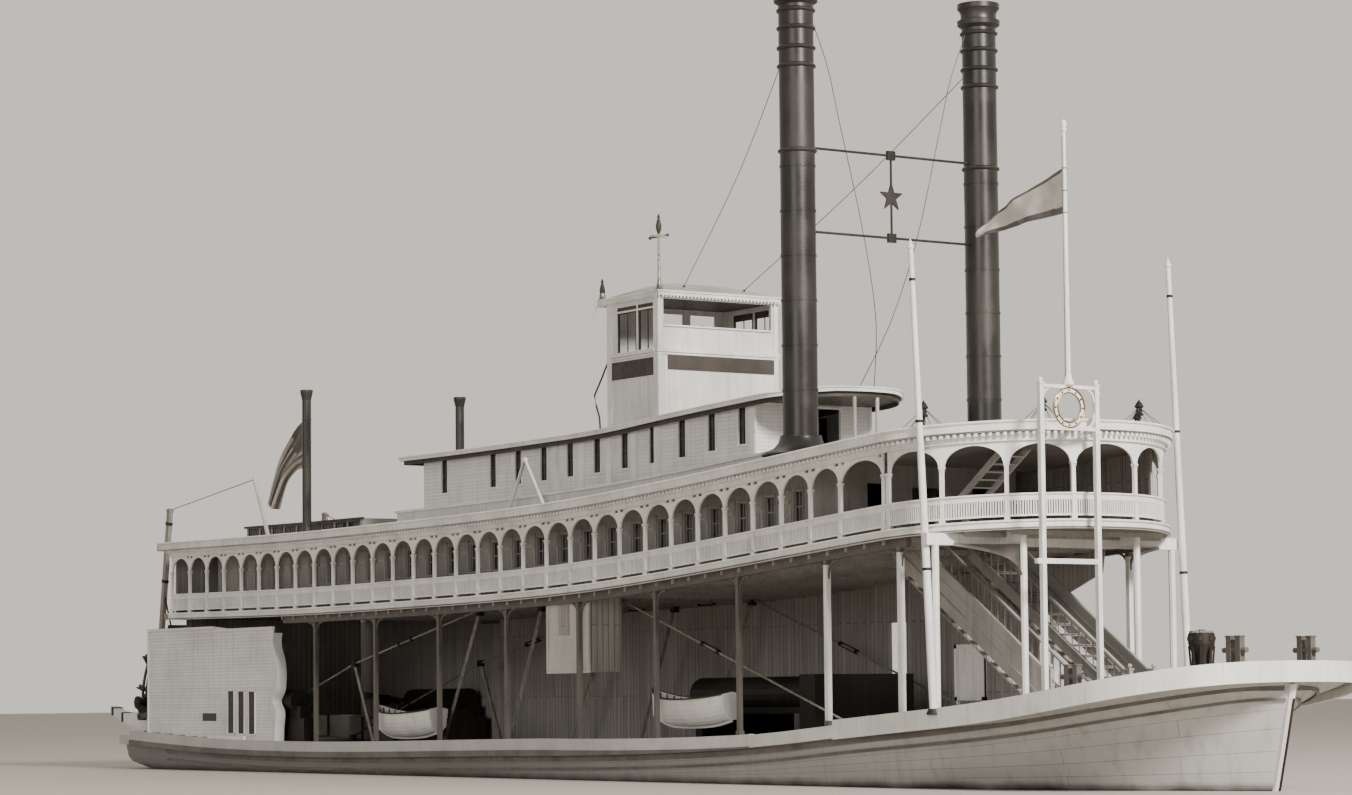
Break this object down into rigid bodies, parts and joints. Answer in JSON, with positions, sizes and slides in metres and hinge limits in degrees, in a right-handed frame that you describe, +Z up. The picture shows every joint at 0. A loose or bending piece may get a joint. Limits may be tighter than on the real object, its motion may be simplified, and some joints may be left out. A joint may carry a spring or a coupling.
{
  "type": "scale model of a stern-wheel paddle steamer",
  "caption": "Stern-wheel river packet with arcaded passenger deck, low texas, pilothouse, twin chimneys and a paddle wheel sunk between two stern legs; scale model at 1:10.",
  "frame": {"origin": "on the flat bottom of the hull, amidships, on the centre plane", "axes": "+X to the bow, +Y to port, +Z up; the water stands at z = 0.12 m"},
  "size_m": [6.563, 0.96, 2.535],
  "materials": {
    "white_paint": "old white lead paint on wood",
    "hull_paint": "weathered dark paint on wood",
    "deck_plank": "worn bare planks",
    "roofing": "painted and tarred roofing canvas",
    "dark_wood": "dark varnished wood",
    "wheel_wood": "wet dark oak",
    "black_iron": "blackened sheet iron",
    "flag_cloth": "faded wool bunting"
  },
  "bodies": {
    "boat": {"hull": "hull_paint", "main_deck": "deck_plank", "edge_band": "white_paint", "wheel_beam_starboard": "white_paint", "wheel_beam_port": "white_paint", "engine_starboard": "black_iron", "engine_port": "black_iron", "boilers": "black_iron", "engine_room_side_starboard": "white_paint", "engine_room_side_port": "white_paint", "engine_room_bulkhead": "white_paint", "boiler_deck": "white_paint", "hurricane_deck": "roofing", "stanchions_starboard": "white_paint", "stanchions_port": "white_paint", "front_beam": "white_paint", "arcade_starboard": "white_paint", "arcade_port": "white_paint", "arcade_front": "white_paint", "saloon_side_starboard": "white_paint", "saloon_side_port": "white_paint", "saloon_front": "white_paint", "saloon_aft": "white_paint", "texas_skirt": "white_paint", "texas_side_starboard": "white_paint", "texas_side_port": "white_paint", "texas_aft": "white_paint", "texas_front": "white_paint", "texas_roof": "roofing", "pilothouse_side_starboard": "white_paint", "pilothouse_side_port": "white_paint", "pilothouse_front": "white_paint", "pilothouse_back": "white_paint", "pilothouse_roof": "roofing", "chimney_starboard": "black_iron", "chimney_port": "black_iron", "steam_pipe_starboard": "black_iron", "steam_pipe_port": "black_iron", "chimney_spreader": "black_iron", "front_stairs": "white_paint", "spar_starboard": "white_paint", "spar_port": "white_paint", "jackstaff_frame": "white_paint", "side_closet": "white_paint", "yawl_aft": "white_paint", "yawl_forward": "white_paint", "hog_chains": "dark_wood", "freight_bulkhead": "dark_wood", "pennant": "flag_cloth", "ensign": "flag_cloth"},
    "paddle_wheel": {"wheel_shaft": "black_iron", "wheel_reel": "wheel_wood"},
    "connecting_rod_starboard": {"pitman_starboard": "wheel_wood"},
    "connecting_rod_port": {"pitman_port": "wheel_wood"},
    "rudder_starboard": {"rudder_starboard": "hull_paint"},
    "rudder_port": {"rudder_port": "hull_paint"},
    "steering_wheel": {"pilot_wheel": "dark_wood"},
    "saloon_door_starboard": {"saloon_door_starboard": "dark_wood"},
    "saloon_door_port": {"saloon_door_port": "dark_wood"},
    "pilothouse_door": {"pilothouse_door": "dark_wood"}
  },
  "joints": [
    {"name": "paddle_wheel_turn", "type": "hinge", "parent": "boat", "child": "paddle_wheel", "pos_m": [-3.08, 0, 0.385], "axis": [0, 1, 0], "continuous": true},
    {"name": "crank_pin_starboard", "type": "hinge", "parent": "paddle_wheel", "child": "connecting_rod_starboard", "pos_m": [-3.02343, -0.417, 0.32843], "axis": [0, 1, 0], "continuous": true},
    {"name": "crank_pin_port", "type": "hinge", "parent": "paddle_wheel", "child": "connecting_rod_port", "pos_m": [-3.02343, 0.417, 0.44157], "axis": [0, 1, 0], "continuous": true},
    {"name": "rudder_steer", "type": "hinge", "parent": "boat", "child": "rudder_starboard", "pos_m": [-2.745, -0.15, 0.15], "axis": [0, 0, 1], "range_deg": [-35, 35]},
    {"name": "rudder_port_steer", "type": "hinge", "parent": "boat", "child": "rudder_port", "pos_m": [-2.745, 0.15, 0.15], "axis": [0, 0, 1], "range_deg": [-35, 35]},
    {"name": "steering_wheel_turn", "type": "hinge", "parent": "boat", "child": "steering_wheel", "pos_m": [0.4, 0, 1.48], "axis": [1, 0, 0], "range_deg": [-350, 350]},
    {"name": "saloon_door_starboard_hinge", "type": "hinge", "parent": "boat", "child": "saloon_door_starboard", "pos_m": [1.588, -0.0602, 0.92], "axis": [0, 0, -1], "range_deg": [0, 90]},
    {"name": "saloon_door_port_hinge", "type": "hinge", "parent": "boat", "child": "saloon_door_port", "pos_m": [1.588, 0.0602, 0.92], "axis": [0, 0, 1], "range_deg": [0, 90]},
    {"name": "pilothouse_door_hinge", "type": "hinge", "parent": "boat", "child": "pilothouse_door", "pos_m": [0.191, -0.1762, 1.415], "axis": [0, 0, 1], "range_deg": [0, 90]}
  ],
  "couplings": [
    {"joint": "crank_pin_starboard", "follows": "paddle_wheel_turn", "ratio": -1},
    {"joint": "crank_pin_port", "follows": "paddle_wheel_turn", "ratio": -1},
    {"joint": "rudder_port_steer", "follows": "rudder_steer", "ratio": 1},
    {"joint": "steering_wheel_turn", "follows": "rudder_steer", "ratio": 10}
  ]
}
